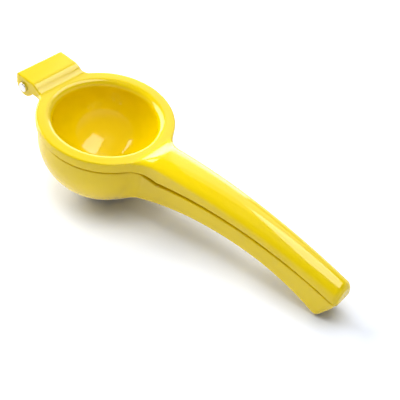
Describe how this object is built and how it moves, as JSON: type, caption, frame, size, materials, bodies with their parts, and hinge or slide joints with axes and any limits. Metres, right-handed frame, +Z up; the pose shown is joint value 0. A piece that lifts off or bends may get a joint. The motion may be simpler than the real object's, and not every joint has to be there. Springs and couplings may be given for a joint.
{
  "type": "hinged lemon squeezer",
  "caption": "Hinged lemon squeezer: a press cup on the upper handle closes into a perforated bowl on the lower handle, both turning on a steel pin.",
  "frame": {"origin": "middle of the base of the closed squeezer, on the surface that its bowl and its heel rest on", "axes": "+Z up, +X from the hinge along the handles to their end, +Y to the left of +X; the squeezer is symmetric about the XZ plane"},
  "size_m": [0.2124, 0.076, 0.0639],
  "materials": {
    "enamel": "glossy lemon yellow enamel over cast aluminium",
    "steel": "polished steel"
  },
  "bodies": {
    "lower_arm": {"lower_arm": "enamel"},
    "upper_arm": {"upper_arm": "enamel", "hinge_pin": "steel"}
  },
  "joints": [
    {"name": "arm_hinge", "type": "hinge", "parent": "lower_arm", "child": "upper_arm", "pos_m": [-0.10013, 0, 0.05665], "axis": [0, -1, 0], "range_deg": [0, 125]}
  ]
}
